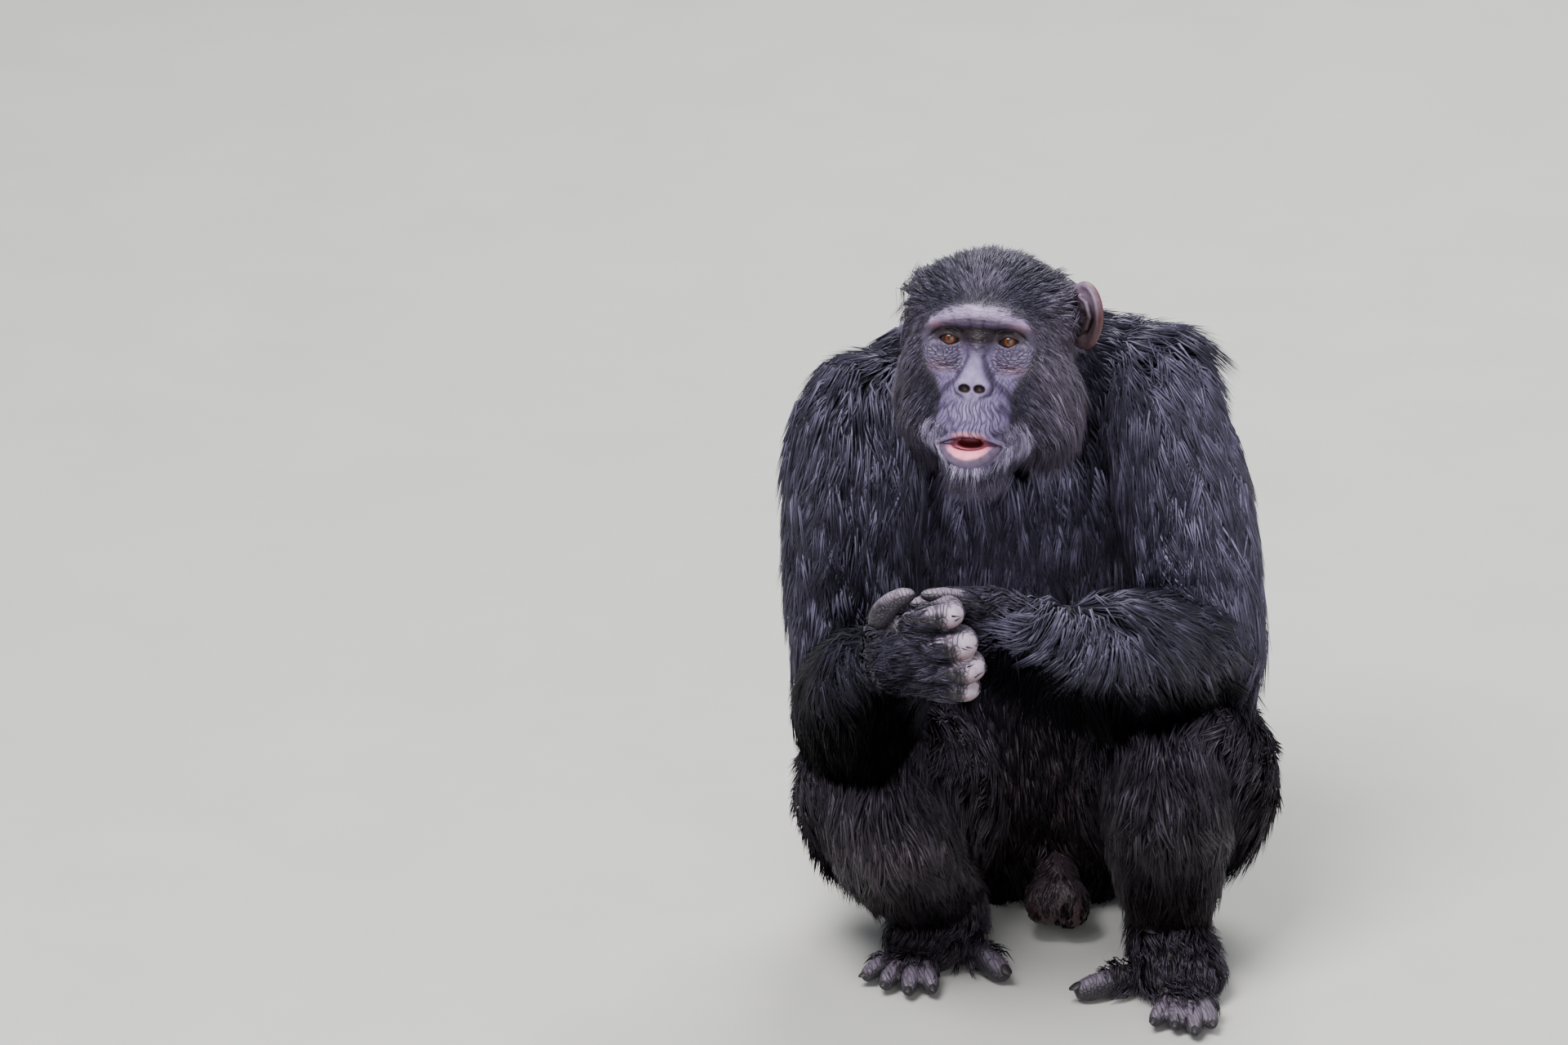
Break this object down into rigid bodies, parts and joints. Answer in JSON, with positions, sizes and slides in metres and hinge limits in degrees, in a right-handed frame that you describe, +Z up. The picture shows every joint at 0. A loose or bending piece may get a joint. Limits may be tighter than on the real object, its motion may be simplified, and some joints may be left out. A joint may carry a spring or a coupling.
{
  "type": "chimpanzee",
  "caption": "Life-size still chimpanzee, an adult male sitting with knees drawn up, hands together before the chest, with a long dark coat.",
  "frame": {"origin": "on the floor, under the middle of the body's bounding box", "axes": "+Z up; the animal faces -Y; its left side is at +X"},
  "size_m": [0.499, 0.6072, 0.762],
  "materials": {
    "coat": "long coarse black hair with a cool sheen on the shoulders and arms, browner on the legs and sides, paler at the cheek tips",
    "face_skin": "bare mauve-grey skin, finely wrinkled, with a soft sheen",
    "ear_skin": "thin bare skin, grey-mauve inside with a reddish brown rim",
    "hand_skin": "thick creased skin, paler on the knuckle pads",
    "foot_skin": "thick dark creased skin",
    "bare_skin": "thin dark brown skin, finely wrinkled",
    "eye": "wet gloss, orange-brown iris in a dark brown eyeball"
  },
  "bodies": {
    "root": {"head": "face_skin", "eye_left": "eye", "eye_right": "eye", "ear_left": "ear_skin", "ear_right": "ear_skin", "neck": "coat", "chest": "coat", "belly": "coat", "upper_arm_left": "coat", "upper_arm_right": "coat", "forearm_left": "coat", "forearm_right": "coat", "hand_left": "hand_skin", "hand_right": "hand_skin", "thigh_left": "coat", "thigh_right": "coat", "shin_left": "coat", "shin_right": "coat", "foot_left": "foot_skin", "foot_right": "foot_skin", "scrotum": "bare_skin"}
  },
  "joints": []
}
